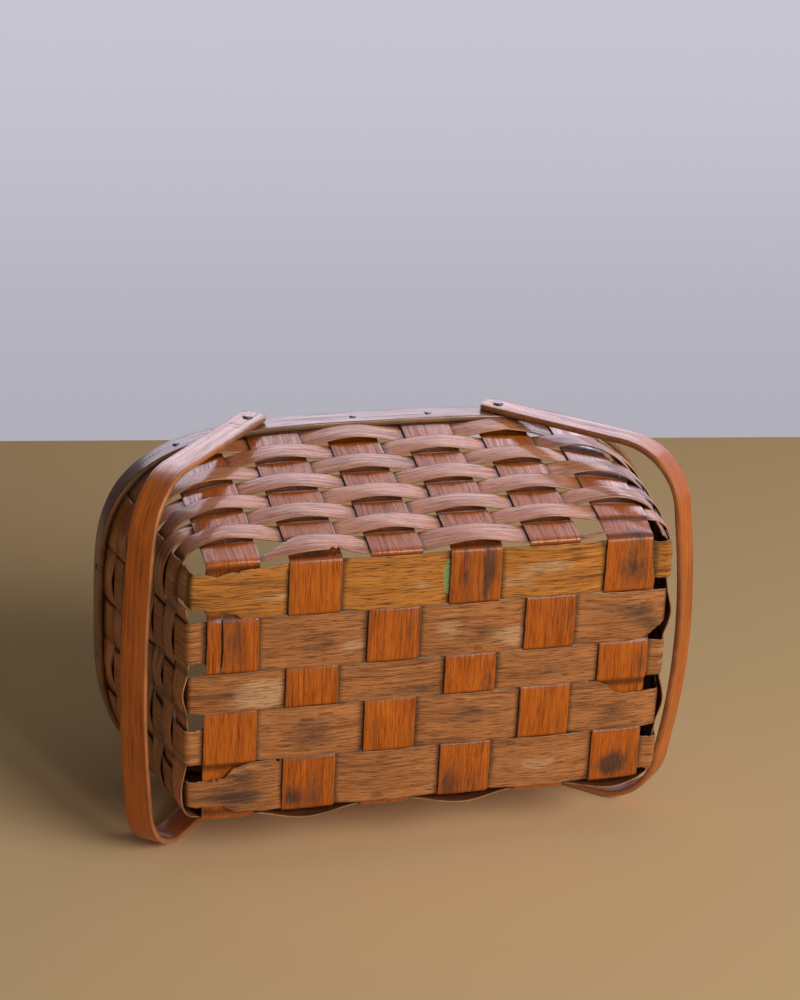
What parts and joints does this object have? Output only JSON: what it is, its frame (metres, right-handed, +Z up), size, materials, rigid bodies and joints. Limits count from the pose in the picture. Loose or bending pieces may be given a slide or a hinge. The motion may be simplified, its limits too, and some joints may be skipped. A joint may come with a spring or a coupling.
{
  "type": "picnic basket",
  "caption": "Oblong splint-woven picnic basket with a bent double rim and two swing handles riveted to its long sides, lying on one side.",
  "frame": {"origin": "centre of the bounding box's bottom face, on the floor under the basket as it lies", "axes": "+X along the basket's length to the right seen from its base; +Y from the base to the mouth, so the basket lies on its long side with the mouth away from the viewer; +Z up. The basket's own axis rises 1.0 degree towards the mouth, because it rests on two rivet heads and on the outer faces of the two lower handle legs."},
  "size_m": [0.4474, 0.178, 0.3063],
  "materials": {
    "stake": "worn orange-brown varnish over fine-grained splint",
    "row": "varnish worn off to pale open grain",
    "weaver": "glossy brown varnish",
    "hoop": "glossy brown varnish",
    "handle": "satin orange-brown varnish, worn on the edges",
    "steel": "dull grey steel"
  },
  "bodies": {
    "basket": {"cross_stake_1": "stake", "cross_stake_2": "stake", "cross_stake_3": "stake", "cross_stake_4": "stake", "cross_stake_5": "stake", "cross_stake_6": "stake", "long_stake_1": "row", "long_stake_2": "row", "long_stake_3": "row", "long_stake_4": "row", "long_stake_5": "row", "weaver_1": "weaver", "weaver_2": "weaver", "weaver_3": "weaver", "weaver_4": "weaver", "weaver_5": "weaver", "weaver_6": "weaver", "weaver_7": "weaver", "weaver_8": "weaver", "rim_outer_hoop": "hoop", "rim_inner_hoop": "hoop", "left_handle_rivet_upper": "steel", "left_handle_rivet_lower": "steel", "right_handle_rivet_upper": "steel", "right_handle_rivet_lower": "steel", "rim_nail_1": "steel", "rim_nail_2": "steel", "rim_nail_3": "steel", "rim_nail_4": "steel", "rim_nail_5": "steel", "rim_nail_6": "steel", "rim_nail_7": "steel", "rim_nail_8": "steel", "rim_nail_9": "steel", "rim_nail_10": "steel", "rim_nail_11": "steel", "rim_nail_12": "steel"},
    "left_handle": {"left_handle": "handle"},
    "right_handle": {"right_handle": "handle"}
  },
  "joints": [
    {"name": "left_handle_swing", "type": "hinge", "parent": "basket", "child": "left_handle", "pos_m": [-0.10463, 0.07066, 0.15314], "axis": [0, 0.0175, -0.9998], "range_deg": [-4.5, 167]},
    {"name": "right_handle_swing", "type": "hinge", "parent": "basket", "child": "right_handle", "pos_m": [0.09437, 0.07066, 0.15314], "axis": [0, -0.0175, 0.9998], "range_deg": [-1.5, 170]}
  ]
}
